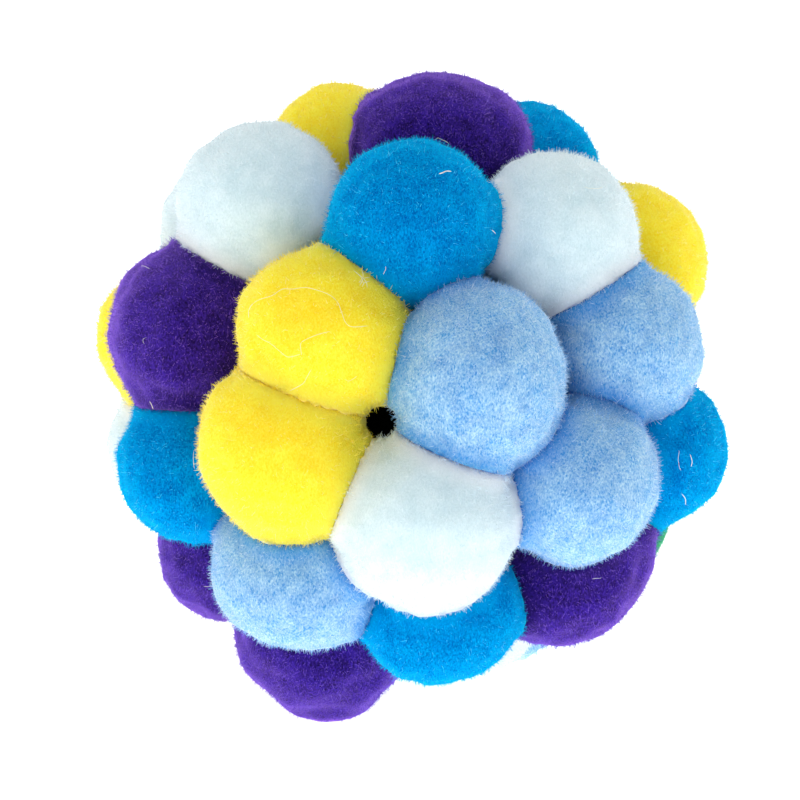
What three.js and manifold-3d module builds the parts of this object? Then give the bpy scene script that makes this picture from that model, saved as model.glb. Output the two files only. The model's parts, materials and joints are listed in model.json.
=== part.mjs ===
// A ball made of soft round pompoms, glued side by side all over a black core.
// Millimetres, +Z up. The front faces -Y. The ball rests on three pompoms that are pressed flat,
// and the origin is on that surface, under the middle of the ball's outline.
import * as THREE from 'three';
import { mergeVertices } from 'three/addons/utils/BufferGeometryUtils.js';
import loadManifold from 'manifold-3d';

const wasm = await loadManifold();
wasm.setup();

// Driving dimensions
const CENTRE_DISTANCE = 38.5; // from the ball's middle to the middle of an ordinary pompom
const CORE_RADIUS = 28;
const REST_HEIGHT = 45.1; // the ball's middle above the surface, with its weight on the lowest pompoms
const FRONT_LOOKS_UP = 20; // degrees from level to the direction that turn 0, rise 0 points in
const GLUE_GAP = 0.3; // between the core and the flat foot of each pompom
const TOUCH_GAP = 0.3; // between two pompoms that press each other flat
const POMPOM_FACETS = 3; // corners added along each edge of an icosahedron
const CORE_FACETS = 4;
const LEAST_EDGE = 0.05; // shorter edges that the cuts leave are merged away

const COLOURS = {
  purple: 0x4a2a96,
  yellow: 0xfae13a,
  blue: 0x0a90d4,
  pale: 0xdbe9ec,
  periwinkle: 0x96bdea,
  green: 0x2fa36c,
  black: 0x0b0b0c,
};

// One row for each pompom. turn and rise say where it sits, in degrees to the right and upwards,
// seen from the front. out is how much further from the middle it sits than an ordinary one, radius
// is its size before it is pressed, wide stretches it one way across, and lean is the angle of that
// way above level.
const COLUMNS = ['colour', 'turn', 'rise', 'out', 'radius', 'wide', 'lean'];
const POMPOMS = [
  // Around the top
  ['yellow', -80, 73, 0.2, 11.2, 1.04, 30],
  ['purple', 22, 73, 0, 11.9, 1.25, 0],
  ['blue', 99, 63, -0.5, 12.4, 1, 0],
  ['green', 179, 62, 0, 13, 1, 0],
  // High on the front and sides
  ['pale', -47.8, 43, 2.2, 12.4, 1.05, 20],
  ['blue', -0.4, 36.2, 2.2, 12.1, 1.04, 40],
  ['pale', 40.8, 36.6, 0.6, 12.2, 1.03, 90],
  ['yellow', 86, 31.8, -0.2, 13, 1, 0],
  ['pale', -103, 42, 0, 12.3, 1, 0],
  // Across the middle of the front and sides
  ['purple', -61.8, 14.8, -1.1, 13.2, 1.04, 90],
  ['yellow', -93, 14, -0.2, 12.2, 1, 0],
  ['yellow', -19.8, 13.1, -0.8, 12.3, 1.06, -35],
  ['yellow', -28.7, -11.7, 0, 12.3, 1.09, -45],
  ['periwinkle', 13.6, 3.6, 0, 12.8, 1.07, 80],
  ['periwinkle', 54, 11.5, -0.5, 12.1, 1, 0],
  ['periwinkle', 39.3, -18.4, 0, 11.9, 1.04, 45],
  ['pale', 3, -26.4, 0, 13.1, 1, 0],
  ['blue', -65, -16, -1.6, 11.9, 1, 0],
  ['blue', 69, -12, 0, 11.7, 1, 0],
  ['pale', -104, -12, 0, 12, 1, 0],
  ['purple', 97, 4, -5, 11.2, 1, 0],
  // Low on the front and sides
  ['periwinkle', -34.6, -40.5, 0, 12, 1.1, 0],
  ['purple', -107, -39, 0, 11.8, 1, 0],
  ['blue', 9.8, -53.2, 0, 11.2, 1.09, 20],
  ['purple', 56.7, -42, -1.1, 11.2, 1.25, 24],
  ['green', 115, -29, -1.5, 12.3, 1, 0],
  // Underneath, three of them on the surface
  ['purple', -80, -68.5, 0.3, 12.8, 1.1, 10],
  ['periwinkle', 138, -54, -1.4, 12.2, 1, 0],
  ['yellow', -146, -46, 0, 12.6, 1, 0],
  ['pale', 70, -73, -5.3, 11.2, 1, 0],
  ['green', -170, -70, -4.2, 10.8, 1, 0],
  // The back
  ['periwinkle', 122, 33, 0, 12.8, 1, 0],
  ['blue', 165, 31, 0, 12.9, 1, 0],
  ['yellow', -147, 38, 0, 13, 1, 0],
  ['purple', -128, 11, 0, 12.6, 1, 0],
  ['green', -160, 7, 0, 12.7, 1, 0],
  ['yellow', 168, 0, 0, 12.7, 1, 0],
  ['pale', 132, 3, 0, 12.8, 1, 0],
  ['blue', -140, -16, 0, 12.6, 1, 0],
  ['pale', -174, -27, 0, 12.6, 1, 0],
  ['purple', 152, -28, 0, 12.6, 1, 0],
];

const MIDDLE = new THREE.Vector3(0, 0, REST_HEIGHT);
const DOWN = new THREE.Vector3(0, 0, -1);

// Turns a direction seen from the front (right, up, towards the viewer) into the part's own axes.
function fromFront(right, up, towards) {
  const tip = THREE.MathUtils.degToRad(90 - FRONT_LOOKS_UP);
  return new THREE.Vector3(right, up, towards).applyAxisAngle(new THREE.Vector3(1, 0, 0), tip);
}

function felt(colour) {
  return new THREE.MeshStandardMaterial({ color: COLOURS[colour], roughness: 1, metalness: 0 });
}

// Reads one table row and works out where the pompom's middle is and how its long way lies.
function layOut(row) {
  const pompom = Object.fromEntries(COLUMNS.map((name, column) => [name, row[column]]));
  const turn = THREE.MathUtils.degToRad(pompom.turn);
  const rise = THREE.MathUtils.degToRad(pompom.rise);
  const lean = THREE.MathUtils.degToRad(pompom.lean);
  const level = Math.cos(rise);
  pompom.outward = fromFront(level * Math.sin(turn), Math.sin(rise), level * Math.cos(turn));
  pompom.along = fromFront(Math.cos(lean), Math.sin(lean), 0).projectOnPlane(pompom.outward).normalize();
  pompom.across = pompom.outward.clone().cross(pompom.along);
  pompom.centre = MIDDLE.clone().addScaledVector(pompom.outward, CENTRE_DISTANCE + pompom.out);
  return pompom;
}

// How far the unpressed pompom reaches from its middle in a direction.
function reach(pompom, direction) {
  const along = direction.dot(pompom.along) / pompom.wide;
  const across = direction.dot(pompom.across) * Math.sqrt(pompom.wide);
  const outward = direction.dot(pompom.outward);
  return pompom.radius / Math.hypot(along, across, outward);
}

// The flats that a pompom is pressed against: the surface below, the core, and its neighbours.
function flatsOf(pompom, all) {
  const inward = pompom.outward.clone().negate();
  const toCore = pompom.centre.distanceTo(MIDDLE) - CORE_RADIUS - GLUE_GAP;
  const flats = [
    { towards: DOWN, distance: pompom.centre.z },
    { towards: inward, distance: toCore },
  ];
  for (const other of all) {
    const towards = other.centre.clone().sub(pompom.centre);
    const apart = towards.length();
    if (other === pompom || apart > pompom.radius * pompom.wide + other.radius * other.wide) continue;
    towards.normalize();
    const own = reach(pompom, towards);
    const theirs = reach(other, towards.clone().negate());
    const distance = (apart ** 2 + own ** 2 - theirs ** 2) / (2 * apart) - TOUCH_GAP / 2;
    flats.push({ towards, distance });
  }
  return flats;
}

function facetedSphere(radius, facets) {
  const geometry = new THREE.IcosahedronGeometry(radius, facets);
  geometry.deleteAttribute('normal');
  geometry.deleteAttribute('uv');
  return mergeVertices(geometry);
}

function toSolid(geometry) {
  const vertProperties = new Float32Array(geometry.getAttribute('position').array);
  const triVerts = new Uint32Array(geometry.getIndex().array);
  return new wasm.Manifold(new wasm.Mesh({ numProp: 3, vertProperties, triVerts }));
}

function toGeometry(solid) {
  const { vertProperties, triVerts } = solid.getMesh();
  const geometry = new THREE.BufferGeometry();
  geometry.setAttribute('position', new THREE.BufferAttribute(vertProperties, 3));
  geometry.setIndex(new THREE.BufferAttribute(triVerts, 1));
  geometry.computeVertexNormals();
  return geometry;
}

function pompomGeometry(pompom, flats) {
  const geometry = facetedSphere(1, POMPOM_FACETS);
  const points = geometry.getAttribute('position');
  const direction = new THREE.Vector3();
  for (let i = 0; i < points.count; i += 1) {
    direction.fromBufferAttribute(points, i).normalize();
    const distance = reach(pompom, direction);
    points.setXYZ(i, direction.x * distance, direction.y * distance, direction.z * distance);
  }
  let solid = toSolid(geometry);
  for (const { towards, distance } of flats) {
    solid = solid.trimByPlane(towards.clone().negate().toArray(), -distance);
  }
  return toGeometry(solid.simplify(LEAST_EDGE));
}

function makePompoms() {
  const all = POMPOMS.map(layOut);
  return all.map((pompom, index) => {
    const mesh = new THREE.Mesh(pompomGeometry(pompom, flatsOf(pompom, all)), felt(pompom.colour));
    mesh.name = `pompom_${String(index + 1).padStart(2, '0')}_${pompom.colour}`;
    mesh.position.copy(pompom.centre);
    return mesh;
  });
}

function makeCore() {
  const geometry = facetedSphere(CORE_RADIUS, CORE_FACETS);
  geometry.computeVertexNormals();
  const core = new THREE.Mesh(geometry, felt('black'));
  core.name = 'core';
  core.position.copy(MIDDLE);
  return core;
}

const ball = new THREE.Group();
ball.add(makeCore(), ...makePompoms());

// The origin goes under the middle of the ball's outline.
ball.updateMatrixWorld(true);
const outlineMiddle = new THREE.Box3().setFromObject(ball, true).getCenter(new THREE.Vector3());
ball.position.set(-outlineMiddle.x, -outlineMiddle.y, 0);

export default ball;
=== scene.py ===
"""A ball of soft pompoms: each solid of the frame gets a rounded body and a nap of short fibres.

Lengths are in metres, in the frame's own axes. Everything random is seeded.
"""
import json
import math

import bmesh
import bpy
import numpy as np
from mathutils import Matrix, Vector, noise
from mathutils.bvhtree import BVHTree


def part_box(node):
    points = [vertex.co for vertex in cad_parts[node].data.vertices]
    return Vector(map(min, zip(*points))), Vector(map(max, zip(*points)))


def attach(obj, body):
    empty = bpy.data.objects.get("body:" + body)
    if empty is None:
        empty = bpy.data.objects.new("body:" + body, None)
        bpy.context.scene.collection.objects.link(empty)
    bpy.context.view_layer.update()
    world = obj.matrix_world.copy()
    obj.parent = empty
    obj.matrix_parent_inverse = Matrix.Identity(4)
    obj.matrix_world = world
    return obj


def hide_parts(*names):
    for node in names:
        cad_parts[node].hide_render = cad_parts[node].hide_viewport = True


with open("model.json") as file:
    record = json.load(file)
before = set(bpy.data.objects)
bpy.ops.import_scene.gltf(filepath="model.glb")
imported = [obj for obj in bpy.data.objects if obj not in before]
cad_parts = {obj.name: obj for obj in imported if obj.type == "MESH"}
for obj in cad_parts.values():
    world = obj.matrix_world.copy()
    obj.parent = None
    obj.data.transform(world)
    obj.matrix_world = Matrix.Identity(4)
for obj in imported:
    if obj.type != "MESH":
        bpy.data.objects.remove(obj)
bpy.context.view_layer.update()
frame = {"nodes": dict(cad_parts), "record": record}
MM = 0.001
SEED = 41
random = np.random.default_rng(SEED)
noise.seed_set(SEED)

# How the photograph's frame lies over the ball
PHOTO_PIXELS = 800
BALL_MIDDLE_PIXEL = (413, 396)
PIXEL = 0.154 * MM  # what one pixel spans at the ball's middle
CAMERA_DISTANCE = 350 * MM
CAMERA_RISE = math.radians(20)
SENSOR = 36 * MM
NEAREST_SEEN = 10 * MM

# Floor and light
FLOOR_HALF = 4.0
FLOOR_GLOW = 1.15
WORLD_LIGHT = 0.43
SOFTBOX_SIZE = 0.9
SOFTBOXES = (  # name, place and power in watts
    ("key", (-0.3, -1.05, 0.5), 3.7),
    ("low", (-0.1, -1.1, 0.05), 2),
    ("top", (-0.1, 0.5, 1.1), 4.5),
    ("left", (-0.9, 0.6, 0.5), 2.2),
    ("right", (0.9, 0.6, 0.5), 4),
)
DIFFUSE_BOUNCES = 12  # light that bounces this often keeps the creases bright

# Bodies
BODY_SUBDIVISIONS = 5
NAP_DEPTH = 0.4 * MM  # how far under its solid's face a body lies where it is free, with nap over it
PRESSED_GAP = 0.3 * MM  # what lies between two solids that press each other flat
LEAST_GAP = 0.06 * MM  # what lies between the bodies there
FREE_REACH = 1.5 * MM  # a spot this far from its neighbour has its full nap
FILL_HEIGHT = 1.4 * MM  # how much a body swells along its creases, to meet its neighbour
FILL_REACH = 3.6 * MM  # how far from its neighbour that begins
ROUNDING_PASSES = 8  # how often neighbouring corners are evened, which takes the solid's facets away
STRAND_SIZE = 0.23 * MM  # across the strands of its surface
STRAND_STRETCH = 0.55  # a strand's width as a share of its length
STRAND_TILTS = ((0.3, 0.2), (1.6, 0.4), (0.5, 1.7))  # the ways that strands run, as turns about X and Y
MOTTLE_SIZE = 2.2 * MM
MOTTLE_SHARE = 0.8  # how much the mottling counts beside the strands
GRAIN_RANGE = (1.47, 2.31)  # the grain's sum that looks deepest and the one that looks brightest
LUMPS = ((6 * MM, 0.5 * MM), (2.4 * MM, 0.35 * MM))  # size and height
HALVINGS = 5  # how finely the swelling of a crease is fitted between its two pompoms
PAINTED_SHADING_REACH = 4 * MM  # how far from its neighbour a body has its painted crease shading
PAINTED_SHADING_FADE = 1.2  # over 1, so that the painted shading fades fast near the crease and slowly further out
FAR = 200 * MM

# Nap
NAP_FIBRES = 194_000
NAP_DRAWS = 3  # how many places are drawn for each fibre, of which one is kept
SKY_RAYS = 24  # rays that find how much open space each corner of a body sees
SKY_UPRIGHT = 0.2  # how much upright counts in the middle direction of that space
RAY_START = 0.05 * MM  # how far off a body its rays begin
CREASE_REACH = 1.9 * MM  # a spot this far from a neighbour is out of the crease
CREASE_DENSITY = 1.5  # how much denser it grows deep in the creases, as a share
FULL_SKY = 0.3  # share of open space from which the nap has its full density
FIBRE_LENGTH = (0.32 * MM, 0.88 * MM)
LENGTH_SKEW = 1.5  # most are nearer the short end
LONGEST_WAY = 3 * MM  # how far it is looked whether a fibre would meet another body
CREASE_PAINTED_SHADE = 0.25  # how much likelier darker fibres are in the creases, as painted shade
HOLLOW_SKY = 0.4  # share of open space under which a spot is in a hollow
HOLLOW_LENGTH = 0.4  # how much longer fibres grow in the hollows, as a share
FOOT_WIDTH = 0.11 * MM
TIP_WIDTH = 0.035 * MM
UPRIGHT = 0.4  # how much a fibre stands straight up
OUTWARD = 0.6  # how much it points to open space
PATCH_LEAN = 0.96  # how much it leans with its patch
OWN_LEAN = 0.56  # how much it leans a way of its own
LEAST_RISE = 0.2  # a fibre that stands up less than this is lifted
LIFT = 0.5
FIBRE_ROOT = 0.1 * MM  # how deep its foot is sunk
LEAN_PATCH = 0.8 * MM  # fibres this close lean alike
TUFT_SIZE = 2.6 * MM  # fibres this close are about as long as each other
TUFT_HEIGHT = 0.5  # how much longer or shorter they grow in the tufts, as a share
LOWEST_FIBRE = 0.02 * MM
FIBRE_SHARES = (0.45, 0.86)  # where the low tint ends and where the top one begins

# Lint and stray hairs, on the nap. Each hair passes these pixels of the photograph.
LINT_COLOURS = ("efe4bc", "f6f6f2")
HAIR_LIFT = 0.9 * MM
HAIR_WIDTH = 0.065 * MM
LINT_WIDTH = 0.11 * MM
TUBE_END = 0.4  # a hair's width at its ends, as a share
HAIR_STEPS = 4  # from each of its pixels to the next
HAIRS = (
    ("hair_loop", HAIR_WIDTH, (
        (254, 319), (254, 312), (257, 306), (263, 302), (274, 299), (285, 293), (295, 291), (308, 291),
        (319, 293), (328, 298), (336, 305), (341, 314), (345, 324), (351, 328), (365, 327),
    )),
    ("hair_branch", HAIR_WIDTH, ((262, 334), (267, 338), (274, 343), (286, 353), (292, 355), (302, 353))),
    ("hair_curl", HAIR_WIDTH, ((303, 354), (302, 348), (303, 343), (309, 339), (320, 335), (330, 332))),
    ("hair_low", HAIR_WIDTH, ((313, 367), (309, 374), (303, 381), (292, 390))),
    ("hair_blue", HAIR_WIDTH, ((387, 263), (386, 268), (383, 274))),
    ("tuft_1", HAIR_WIDTH, ((353, 275), (358, 280), (361, 287))),
    ("tuft_2", HAIR_WIDTH, ((362, 273), (361, 280), (356, 288))),
    ("tuft_3", HAIR_WIDTH, ((355, 285), (361, 281), (368, 279))),
    ("tuft_4", HAIR_WIDTH, ((357, 278), (363, 283), (365, 290))),
    ("tuft_5", HAIR_WIDTH, ((359, 290), (362, 285), (368, 283))),
    ("lint_blue", 1.5 * LINT_WIDTH, ((438, 177), (441, 176), (445, 175), (448, 175))),
    ("lint_blue_low", LINT_WIDTH, ((486, 229), (488, 230), (490, 232))),
    ("lint_purple", LINT_WIDTH, ((153, 398), (155, 402), (157, 407))),
    ("lint_right", LINT_WIDTH, ((687, 455), (689, 460), (688, 465))),
    ("lint_right_low", LINT_WIDTH, ((681, 491), (683, 495), (683, 500))),
    ("lint_yellow", LINT_WIDTH, ((696, 277), (698, 278), (700, 280))),
)
STRAYS = 30  # short hairs at random places
STRAY_STEPS = (5, 12)  # the fewest and the most
STRAY_STEP = 0.3 * MM
STRAY_LIFT = 0.8 * MM
STRAY_WIDTH = (0.04 * MM, 0.07 * MM)
STRAY_FOOT = 0.3  # how high a stray hair begins, as a share of its lift
STRAY_BEND = 0.5  # how much its way turns at each step
LOWEST_STRAY = 0.1 * MM

# Colours, as they look in the photograph: the body between and along its strands, the painted shading of
# its creases (darker or paler than the body by colour), three tints of fibres, and the glow of the rims
TINTS = ("deep", "bright", "painted_crease_shading", "low", "mid", "top", "rim")
COLOURS = {
    "purple": ("080034", "3e229c", "0a0446", "4428a0", "643eb8", "7c54ca", "b488ff"),
    "yellow": ("f5d424", "fce94c", "feee54", "f8df38", "fce85c", "fff29a", "d4c890"),
    "blue": ("0060a8", "009edc", "0090d4", "0092d4", "00b0e8", "38ccf6", "28b4e8"),
    "pale": ("c8dbe0", "d9e9ee", "f6fcfc", "d6e6eb", "deedf1", "e8f3f7", "60666c"),
    "periwinkle": ("4e94d0", "b4d4e6", "2c88dc", "74aee2", "accdea", "cadff2", "8098c8"),
    "green": ("0a6138", "38a370", "107a48", "299461", "4db380", "7ad1a3", "60a080"),
    "black": ("030303", "0a0a0a", "030303", "080808", "0f0f0f", "242421", "101010"),
}
SHEEN = {"purple": (1, 0.5), "blue": (0.8, 0.4)}  # weight and roughness
PLAIN_SHEEN = (0.8, 0.3)


def linear(code):
    """A colour as it is seen, in the linear values that shaders take."""
    seen = (int(code[i:i + 2], 16) / 255 for i in (0, 2, 4))
    return tuple(c / 12.92 if c <= 0.04045 else ((c + 0.055) / 1.055) ** 2.4 for c in seen)


def tint(colour, name):
    """One of a colour's tints, in the linear values that shaders take."""
    return linear(COLOURS[colour][TINTS.index(name)])


def middle_of(node):
    low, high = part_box(node)
    return (low + high) / 2


BALL_MIDDLE = middle_of("core")


# Camera, floor and light

def set_camera():
    data = bpy.data.cameras.new("camera")
    data.sensor_width = SENSOR / MM
    data.lens = SENSOR / MM * CAMERA_DISTANCE / (PHOTO_PIXELS * PIXEL)
    data.shift_x = (PHOTO_PIXELS / 2 - BALL_MIDDLE_PIXEL[0]) / PHOTO_PIXELS
    data.shift_y = (BALL_MIDDLE_PIXEL[1] - PHOTO_PIXELS / 2) / PHOTO_PIXELS
    data.clip_start = NEAREST_SEEN
    camera = bpy.data.objects.new("camera", data)
    back = Vector((0, -math.cos(CAMERA_RISE), math.sin(CAMERA_RISE)))
    camera.location = BALL_MIDDLE + CAMERA_DISTANCE * back
    camera.rotation_euler = (math.pi / 2 - CAMERA_RISE, 0, 0)
    bpy.context.scene.collection.objects.link(camera)
    bpy.context.scene.camera = camera


def set_floor():
    mesh = bpy.data.meshes.new("floor")
    corners = [(x * FLOOR_HALF, y * FLOOR_HALF, 0) for x, y in ((-1, -1), (1, -1), (1, 1), (-1, 1))]
    mesh.from_pydata(corners, [], [(0, 1, 2, 3)])
    floor = bpy.data.objects.new("floor", mesh)
    material = bpy.data.materials.new("floor")
    material.use_nodes = True
    shader = material.node_tree.nodes["Principled BSDF"]
    shader.inputs["Base Color"].default_value = (0.85, 0.85, 0.85, 1)
    shader.inputs["Roughness"].default_value = 0.9
    shader.inputs["Specular IOR Level"].default_value = 0.1
    shader.inputs["Emission Color"].default_value = (1, 1, 1, 1)
    shader.inputs["Emission Strength"].default_value = FLOOR_GLOW
    mesh.materials.append(material)
    bpy.context.scene.collection.objects.link(floor)


def add_softbox(name, place, power):
    data = bpy.data.lights.new(name, "AREA")
    data.size = SOFTBOX_SIZE
    data.energy = power
    light = bpy.data.objects.new(name, data)
    light.location = place
    light.rotation_euler = (Vector(place) - BALL_MIDDLE).to_track_quat("Z", "Y").to_euler()
    bpy.context.scene.collection.objects.link(light)


def set_light():
    world = bpy.data.worlds.new("studio")
    world.use_nodes = True
    background = world.node_tree.nodes["Background"]
    background.inputs["Color"].default_value = (1, 1, 1, 1)
    background.inputs["Strength"].default_value = WORLD_LIGHT
    bpy.context.scene.world = world
    for name, place, power in SOFTBOXES:
        add_softbox(name, place, power)
    bpy.context.scene.view_settings.view_transform = "Standard"
    bpy.context.scene.cycles.diffuse_bounces = DIFFUSE_BOUNCES


# Materials

def new_material(name):
    material = bpy.data.materials.new(name)
    material.use_nodes = True
    return material, material.node_tree.nodes, material.node_tree.links


def noise_node(nodes, links, coordinates, size, detail):
    node = nodes.new("ShaderNodeTexNoise")
    node.inputs["Scale"].default_value = 1 / size
    node.inputs["Detail"].default_value = detail
    links.new(coordinates, node.inputs["Vector"])
    return node


def set_softness(shader, colour):
    """Light passes a little way through the fibres, and rims look paler."""
    shader.inputs["Specular IOR Level"].default_value = 0
    shader.inputs["Subsurface Radius"].default_value = (1, 1, 1)
    weight, roughness = SHEEN.get(colour, PLAIN_SHEEN)
    shader.inputs["Sheen Weight"].default_value = weight
    shader.inputs["Sheen Roughness"].default_value = roughness
    shader.inputs["Sheen Tint"].default_value = (*tint(colour, "rim"), 1)


def math_node(nodes, links, operation, first, second):
    """A sum on two values, each an output of another node or a number."""
    node = nodes.new("ShaderNodeMath")
    node.operation = operation
    for socket, value in zip(node.inputs, (first, second)):
        if isinstance(value, (int, float)):
            socket.default_value = value
        else:
            links.new(value, socket)
    return node.outputs[0]


def strands(nodes, links, coordinates, tilt):
    """Fine strokes that all run one way, tilted from upright by an angle about X and Y."""
    mapping = nodes.new("ShaderNodeMapping")
    mapping.inputs["Rotation"].default_value = (tilt[0], tilt[1], 0)
    mapping.inputs["Scale"].default_value = (1, 1, STRAND_STRETCH)
    links.new(coordinates.outputs["Object"], mapping.inputs["Vector"])
    field = noise_node(nodes, links, mapping.outputs["Vector"], STRAND_SIZE, 1)
    field.inputs["Distortion"].default_value = 0.4
    return field.outputs["Fac"]


def body_material(colour):
    """The nap seen between its own tips: strands crossing three ways, soft mottling and a little sheen."""
    material, nodes, links = new_material(colour + "_felt")
    shader = nodes["Principled BSDF"]
    coordinates = nodes.new("ShaderNodeTexCoord")
    ways = [strands(nodes, links, coordinates, tilt) for tilt in STRAND_TILTS]
    pair = math_node(nodes, links, "ADD", ways[0], ways[1])
    grain = math_node(nodes, links, "ADD", pair, ways[2])
    mottle = noise_node(nodes, links, coordinates.outputs["Object"], MOTTLE_SIZE, 3)
    patch = math_node(nodes, links, "MULTIPLY", mottle.outputs["Fac"], MOTTLE_SHARE)
    both = math_node(nodes, links, "ADD", grain, patch)
    shade = nodes.new("ShaderNodeMapRange")
    shade.inputs["From Min"].default_value = GRAIN_RANGE[0]
    shade.inputs["From Max"].default_value = GRAIN_RANGE[1]
    links.new(both, shade.inputs["Value"])

    ramp = nodes.new("ShaderNodeValToRGB")
    ramp.color_ramp.elements[0].color = (*tint(colour, "deep"), 1)
    ramp.color_ramp.elements[1].color = (*tint(colour, "bright"), 1)
    links.new(shade.outputs["Result"], ramp.inputs[0])
    # Painted crease shading: near a neighbour the colour turns to the crease tint, darker or paler than the
    # body by colour
    painted_crease_shading = nodes.new("ShaderNodeAttribute")
    painted_crease_shading.attribute_name = "painted_crease_shading"
    mix = nodes.new("ShaderNodeMixRGB")
    mix.inputs["Color2"].default_value = (*tint(colour, "painted_crease_shading"), 1)
    links.new(painted_crease_shading.outputs["Fac"], mix.inputs["Fac"])
    links.new(ramp.outputs["Color"], mix.inputs["Color1"])
    links.new(mix.outputs["Color"], shader.inputs["Base Color"])

    bump = nodes.new("ShaderNodeBump")
    bump.inputs["Strength"].default_value = 0.6
    bump.inputs["Distance"].default_value = 0.1 * MM
    links.new(grain, bump.inputs["Height"])
    links.new(bump.outputs["Normal"], shader.inputs["Normal"])

    shader.inputs["Roughness"].default_value = 0.95
    set_softness(shader, colour)
    shader.inputs["Subsurface Weight"].default_value = 1
    shader.inputs["Subsurface Scale"].default_value = 8 * MM
    return material


def fibre_material(colour, part):
    """One of the three tints that a pompom's fibres are mixed from."""
    material, nodes = new_material(f"{colour}_fibre_{part}")[:2]
    shader = nodes["Principled BSDF"]
    shader.inputs["Base Color"].default_value = (*tint(colour, part), 1)
    shader.inputs["Roughness"].default_value = 0.85
    set_softness(shader, colour)
    shader.inputs["Subsurface Weight"].default_value = 0.4
    shader.inputs["Subsurface Scale"].default_value = 0.15 * MM
    return material


# Meshes

def link_mesh(name, points, triangles, materials, smooth, which=None):
    """A mesh piece from arrays of points and triangles. which gives each triangle's material."""
    mesh = bpy.data.meshes.new(name)
    mesh.vertices.add(len(points))
    mesh.vertices.foreach_set("co", np.asarray(points, np.float32).ravel())
    mesh.loops.add(3 * len(triangles))
    mesh.loops.foreach_set("vertex_index", np.asarray(triangles, np.int32).ravel())
    mesh.polygons.add(len(triangles))
    mesh.polygons.foreach_set("loop_start", np.arange(0, 3 * len(triangles), 3, dtype=np.int32))
    for material in materials:
        mesh.materials.append(material)
    if which is not None:
        mesh.polygons.foreach_set("material_index", np.asarray(which, np.int32))
    mesh.polygons.foreach_set("use_smooth", np.full(len(triangles), smooth))
    mesh.update(calc_edges=True)
    piece = bpy.data.objects.new(name, mesh)
    bpy.context.scene.collection.objects.link(piece)
    return piece


def finish_piece(piece, slot, *nodes):
    """Puts a piece on the ball's body and hides the nodes that it replaces. Its finish, slot, is not used.
    """
    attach(piece, "root")
    if nodes:
        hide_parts(*nodes)


def even_sphere():
    """The directions and triangles of an even unit sphere, and each corner's neighbours as edge pairs."""
    shape = bmesh.new()
    bmesh.ops.create_icosphere(shape, subdivisions=BODY_SUBDIVISIONS, radius=1)
    directions = np.array([v.co for v in shape.verts])
    triangles = np.array([[v.index for v in f.verts] for f in shape.faces])
    edges = np.array([[v.index for v in e.verts] for e in shape.edges])
    shape.free()
    return directions, triangles, edges


DIRECTIONS, TRIANGLES, EDGES = even_sphere()


def solid_tree(nodes):
    """The nodes' solids, ready to be hit by rays."""
    points = []
    faces = []
    for node in nodes:
        mesh = frame["nodes"][node].data
        first = len(points)
        points += [v.co.copy() for v in mesh.vertices]
        faces += [[first + i for i in face.vertices] for face in mesh.polygons]
    return BVHTree.FromPolygons(points, faces)


def evened(values):
    """Each corner's value averaged with its neighbours'."""
    total = values.copy()
    count = np.ones(len(values))
    for a, b in (EDGES.T, EDGES.T[::-1]):
        np.add.at(total, a, values[b])
        np.add.at(count, a, 1)
    return total / count


def unit(vectors):
    return vectors / np.linalg.norm(vectors, axis=1, keepdims=True)


def corner_normals(points):
    a, b, c = (points[TRIANGLES[:, i]] for i in range(3))
    facing = np.cross(b - a, c - a)
    normals = np.zeros_like(points)
    for i in range(3):
        np.add.at(normals, TRIANGLES[:, i], facing)
    return unit(normals)


def lumps(points):
    """How far the nap bulges at each point."""
    return sum(height * np.array([noise.noise(Vector(p) / size) for p in points]) for size, height in LUMPS)


def distances(tree, points, reach):
    """How far each point is from the pieces of a tree, up to a reach."""
    found = (tree.find_nearest(Vector(point), reach)[3] for point in points)
    return np.array([reach if distance is None else distance for distance in found])


def rounded(radii, free):
    """The radii evened as far as each corner is free."""
    for _ in range(ROUNDING_PASSES):
        radii = radii + free * (evened(radii) - radii)
    return radii


def kept_apart(own, others, points, shifts):
    """The share of each shift that leaves the point nearer to its own solid than to the others."""
    share = np.zeros(len(points))
    step = 0.5
    for _ in range(HALVINGS):
        moved = points + shifts * (share + step)[:, None]
        fits = distances(own, moved, FAR) + LEAST_GAP < distances(others, moved, FAR)
        share += step * fits
        step /= 2
    return share


def body_points(node, others):
    """The points of a body: under the nap where it is free, and swollen along its creases."""
    own = solid_tree([node])
    centre = np.array(middle_of(node))
    angle = random.uniform(0, math.tau)
    axis = Vector(random.normal(size=3)).normalized()
    turn = np.array(Matrix.Rotation(angle, 3, axis))
    directions = DIRECTIONS @ turn.T
    radii = np.array([own.ray_cast(Vector(centre), Vector(direction))[3] for direction in directions])
    points = centre + directions * radii[:, None]
    near = np.minimum(distances(others, points, FILL_REACH), PRESSED_GAP + points[:, 2])
    apart = np.clip(near - PRESSED_GAP, 0, None)
    free = np.clip(apart / FREE_REACH, 0, 1)
    fill = FILL_HEIGHT * np.clip(1 - apart / FILL_REACH, 0, 1) ** 2
    radii = rounded(radii, free) - free * (NAP_DEPTH + lumps(points))
    points = centre + directions * radii[:, None]
    shifts = directions * fill[:, None]
    beside = fill > 0
    shifts[beside] *= kept_apart(own, others, points[beside], shifts[beside])[:, None]
    points += shifts
    points[:, 2] = np.maximum(points[:, 2], 0)
    return points


# Nap

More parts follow.
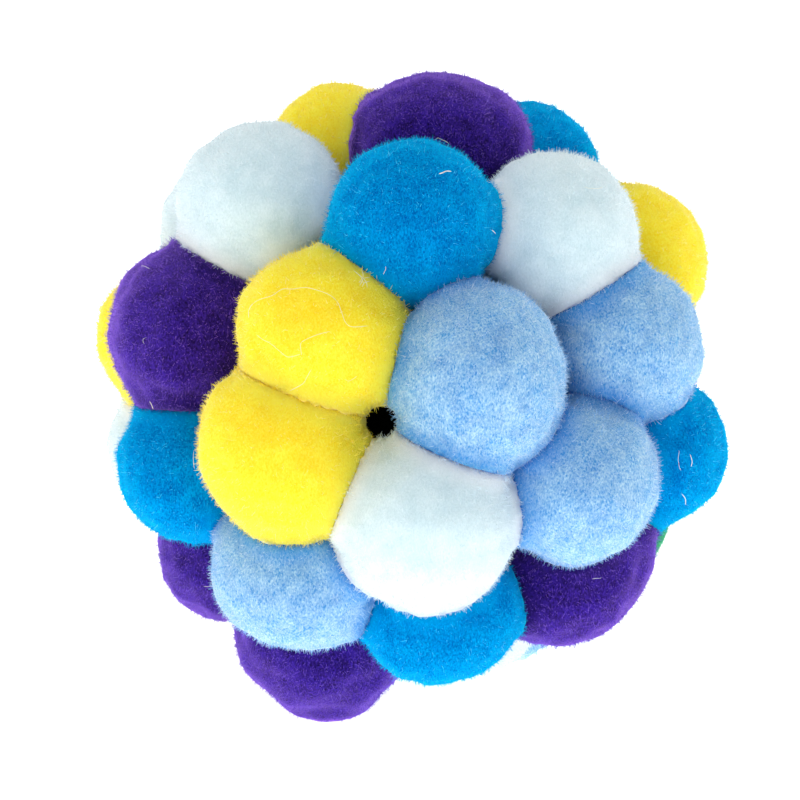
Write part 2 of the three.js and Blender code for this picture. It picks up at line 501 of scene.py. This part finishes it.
def open_sky(tree, spots, normals):
    """The share of open space over each spot, and the middle direction of that open space."""
    spread = random.normal(size=(len(spots), SKY_RAYS, 3))
    spread /= np.linalg.norm(spread, axis=2, keepdims=True)
    rays = spread + 1.001 * normals[:, None, :]  # just over 1, so that no ray has a length of zero
    rays /= np.linalg.norm(rays, axis=2, keepdims=True)
    free = np.ones((len(spots), SKY_RAYS), bool)
    for i, (spot, normal) in enumerate(zip(spots, normals)):
        start = Vector(spot + RAY_START * normal)
        for j in range(SKY_RAYS):
            free[i, j] = tree.ray_cast(start, Vector(rays[i, j]), FAR)[3] is None
    towards = (rays * free[:, :, None]).sum(axis=1) + SKY_UPRIGHT * normals
    return free.mean(axis=1), unit(towards)


def nap_areas(body):
    """The area of each triangle of a body, less where it sees little open space."""
    a, b, c = (body["points"][TRIANGLES[:, i]] for i in range(3))
    area = np.linalg.norm(np.cross(b - a, c - a), axis=1) / 2
    sky = body["sky"][TRIANGLES].mean(axis=1)
    return area * np.clip(sky / FULL_SKY, 0, 1)


def lean_field(points):
    """A direction for each point that changes slowly, so that fibres lie in small patches."""
    return np.array([noise.noise_vector(Vector(p) / LEAN_PATCH) for p in points])


def tuft_field(points):
    """A number about 1 for each point that changes slowly, so that the nap grows in soft tufts."""
    return 1 + TUFT_HEIGHT * np.array([noise.noise(Vector(p) / TUFT_SIZE) for p in points])


def free_way(tree, spots, ways, most):
    """How far a straight way runs from each spot before it meets a body, up to the most."""
    free = np.full(len(spots), most)
    for i, (spot, way) in enumerate(zip(spots, ways)):
        hit = tree.ray_cast(Vector(spot + RAY_START * way), Vector(way), most)[3]
        if hit is not None:
            free[i] = hit
    return free


def crease_share(spots, others):
    """1 for a spot that touches a neighbouring piece, falling to 0 where it is out of the crease."""
    return 1 - distances(others, spots, CREASE_REACH) / CREASE_REACH


def grow_nap(name, colour, tree, body, count):
    """Fibres as closed slender pieces, spread over the part of one body that sees open space."""
    weights = nap_areas(body)
    draws = NAP_DRAWS * count
    corners = TRIANGLES[random.choice(len(TRIANGLES), draws, p=weights / weights.sum())]
    share = random.dirichlet((1, 1, 1), draws)[:, :, None]
    spots = (body["points"][corners] * share).sum(axis=1)
    crease = crease_share(spots, body["others"])
    chance = 1 + CREASE_DENSITY * crease**2
    kept = random.choice(draws, count, replace=False, p=chance / chance.sum())
    corners, share, spots, crease = corners[kept], share[kept], spots[kept], crease[kept]
    up = unit((body["normals"][corners] * share).sum(axis=1))
    out = unit((body["towards"][corners] * share).sum(axis=1))
    sky = (body["sky"][corners] * share[:, :, 0]).sum(axis=1)
    hollow = np.clip(1 - sky / HOLLOW_SKY, 0, 1) * (1 - crease)

    sideways = PATCH_LEAN * lean_field(spots) + OWN_LEAN * random.normal(size=(count, 3))
    way = unit(UPRIGHT * up + OUTWARD * out + sideways)
    flat = (way * up).sum(axis=1) < LEAST_RISE
    way[flat] = unit(way[flat] + LIFT * up[flat])
    shortest, longest = FIBRE_LENGTH
    length = shortest + (longest - shortest) * random.random(count) ** LENGTH_SKEW
    length *= tuft_field(spots) * (1 + HOLLOW_LENGTH * hollow)
    length = np.minimum(length, free_way(tree, spots, way, LONGEST_WAY))

    across = unit(np.cross(way, random.normal(size=(count, 3))))
    over = np.cross(way, across)
    foot = spots - FIBRE_ROOT * up
    tip = spots + way * length[:, None]
    ends = (
        foot - across * FOOT_WIDTH / 2,
        foot + across * FOOT_WIDTH / 2,
        tip - over * TIP_WIDTH / 2,
        tip + over * TIP_WIDTH / 2,
    )
    fibre = np.stack(ends, axis=1)
    fibre[:, :, 2] = np.maximum(fibre[:, :, 2], LOWEST_FIBRE)
    sides = np.array([[0, 1, 2], [0, 3, 1], [0, 2, 3], [1, 3, 2]])
    triangles = (4 * np.arange(count)[:, None, None] + sides).reshape(-1, 3)
    # Each fibre's tint differs at random, and darker tints are likelier in the creases as painted shade
    lightness = random.random(count) - CREASE_PAINTED_SHADE * crease
    which = np.repeat(np.digitize(lightness, FIBRE_SHARES), len(sides))
    return link_mesh(name, fibre.reshape(-1, 3), triangles, fibres[colour], False, which)


# Lint and stray hairs

def lint_material():
    """Cream fibres, a little uneven."""
    material, nodes, links = new_material("lint")
    shader = nodes["Principled BSDF"]
    coordinates = nodes.new("ShaderNodeTexCoord")
    tone = noise_node(nodes, links, coordinates.outputs["Object"], 1 * MM, 1)
    ramp = nodes.new("ShaderNodeValToRGB")
    ramp.color_ramp.elements[0].color = (*linear(LINT_COLOURS[0]), 1)
    ramp.color_ramp.elements[1].color = (*linear(LINT_COLOURS[1]), 1)
    links.new(tone.outputs["Fac"], ramp.inputs[0])
    links.new(ramp.outputs["Color"], shader.inputs["Base Color"])
    shader.inputs["Roughness"].default_value = 0.8
    return material


def seen_at(tree, pixel, lift):
    """The place over the nap that shows at a pixel of the photograph."""
    right = Vector((1, 0, 0))
    back = Vector((0, -math.cos(CAMERA_RISE), math.sin(CAMERA_RISE)))
    up = back.cross(right)
    across, down = (pixel[i] - BALL_MIDDLE_PIXEL[i] for i in (0, 1))
    ray = PIXEL * (across * right - down * up) - CAMERA_DISTANCE * back
    place, normal = tree.ray_cast(BALL_MIDDLE + CAMERA_DISTANCE * back, ray.normalized())[:2]
    return place + lift * normal


def smooth_path(points, steps):
    """A smooth way through points, with some steps from each to the next."""
    ends = [2 * points[0] - points[1], *points, 2 * points[-1] - points[-2]]
    path = []
    for a, b, c, d in zip(ends, ends[1:], ends[2:], ends[3:]):
        for step in range(steps):
            t = step / steps
            bow = (2 * a - 5 * b + 4 * c - d) * t**2 + (3 * b - a - 3 * c + d) * t**3
            path.append(b + ((c - a) * t + bow) / 2)
    return [*path, points[-1]]


def tube(path, width):
    """The points and triangles of a closed three-sided tube that tapers at both ends."""
    points = []
    triangles = []
    for i, place in enumerate(path):
        along = (path[min(i + 1, len(path) - 1)] - path[max(i - 1, 0)]).normalized()
        side = along.orthogonal().normalized()
        over = along.cross(side)
        size = width / 2 * (TUBE_END if i in (0, len(path) - 1) else 1)
        for corner in range(3):
            angle = math.tau * corner / 3
            points.append(place + size * (math.cos(angle) * side + math.sin(angle) * over))
        if i > 0:
            for corner in range(3):
                a, b = 3 * (i - 1) + corner, 3 * (i - 1) + (corner + 1) % 3
                triangles += [(a, b, b + 3), (a, b + 3, a + 3)]
    last = 3 * (len(path) - 1)
    return points, [(0, 2, 1), *triangles, (last, last + 1, last + 2)]


def stray_path(tree, body):
    """A short curled way over the nap, from a random place on a body."""
    start = random.choice(len(body["points"]), p=body["sky"] / body["sky"].sum())
    place = Vector(body["points"][start])
    way = Vector(random.normal(size=3))
    bend = Vector(random.normal(size=3))
    path = []
    for step in range(random.integers(*STRAY_STEPS)):
        place, normal = tree.find_nearest(place)[:2]
        lift = STRAY_LIFT * (1 if step else STRAY_FOOT)
        spot = place + lift * normal
        spot.z = max(spot.z, LOWEST_STRAY)
        path.append(spot)
        way = (way - way.dot(normal) * normal).normalized() + STRAY_BEND * bend
        place = place + STRAY_STEP * way.normalized()
    return path


def join_tubes(name, paths, widths, material):
    """One piece of tubes, one along each path."""
    points = []
    triangles = []
    for path, width in zip(paths, widths):
        corners, faces = tube(path, float(width))
        triangles += [[len(points) + k for k in face] for face in faces]
        points += corners
    finish_piece(link_mesh(name, [list(p) for p in points], triangles, [material], True), "pale")


def add_lint(tree, bodies):
    material = lint_material()
    for name, width, pixels in HAIRS:
        places = [seen_at(tree, pixel, HAIR_LIFT) for pixel in pixels]
        join_tubes(name, [smooth_path(places, HAIR_STEPS)], [width], material)
    outer = [body for node, body in bodies.items() if node != "core"]
    paths = [stray_path(tree, outer[i]) for i in random.integers(len(outer), size=STRAYS)]
    join_tubes("stray_hairs", paths, random.uniform(*STRAY_WIDTH, STRAYS), material)


# The whole ball

def make_ball():
    nodes = sorted(frame["nodes"])
    bodies = {}
    for node in nodes:
        others = solid_tree([other for other in nodes if other != node])
        points = body_points(node, others)
        bodies[node] = {"points": points, "normals": corner_normals(points), "others": others}
    tree = BVHTree.FromPolygons(
        [Vector(p) for node in nodes for p in bodies[node]["points"]],
        [[int(k) + len(DIRECTIONS) * i for k in t] for i in range(len(nodes)) for t in TRIANGLES],
    )
    for body in bodies.values():
        body["sky"], body["towards"] = open_sky(tree, body["points"], body["normals"])
    areas = {node: nap_areas(bodies[node]).sum() for node in nodes}
    density = NAP_FIBRES / sum(areas.values())
    for node in nodes:
        colour = frame_slot[node]
        label = node.removeprefix("pompom_")
        piece = link_mesh("body_" + label, bodies[node]["points"], TRIANGLES, [felts[colour]], True)
        # Painted crease shading, strongest where the body meets a neighbour and fading out over its reach
        near = distances(bodies[node]["others"], bodies[node]["points"], PAINTED_SHADING_REACH)
        painted_crease_shading = piece.data.attributes.new("painted_crease_shading", "FLOAT", "POINT")
        painted_crease_shading.data.foreach_set("value", (1 - near / PAINTED_SHADING_REACH) ** PAINTED_SHADING_FADE)
        finish_piece(piece, colour, node)
        nap = grow_nap("nap_" + label, colour, tree, bodies[node], round(areas[node] * density))
        finish_piece(nap, colour)
    add_lint(tree, bodies)


set_camera()
set_floor()
set_light()
frame_slot = {row["node"]: row["material_slot"] for row in frame["record"]["subparts"]}
felts = {colour: body_material(colour) for colour in COLOURS}
fibres = {colour: [fibre_material(colour, part) for part in ("low", "mid", "top")] for colour in COLOURS}
make_ball()
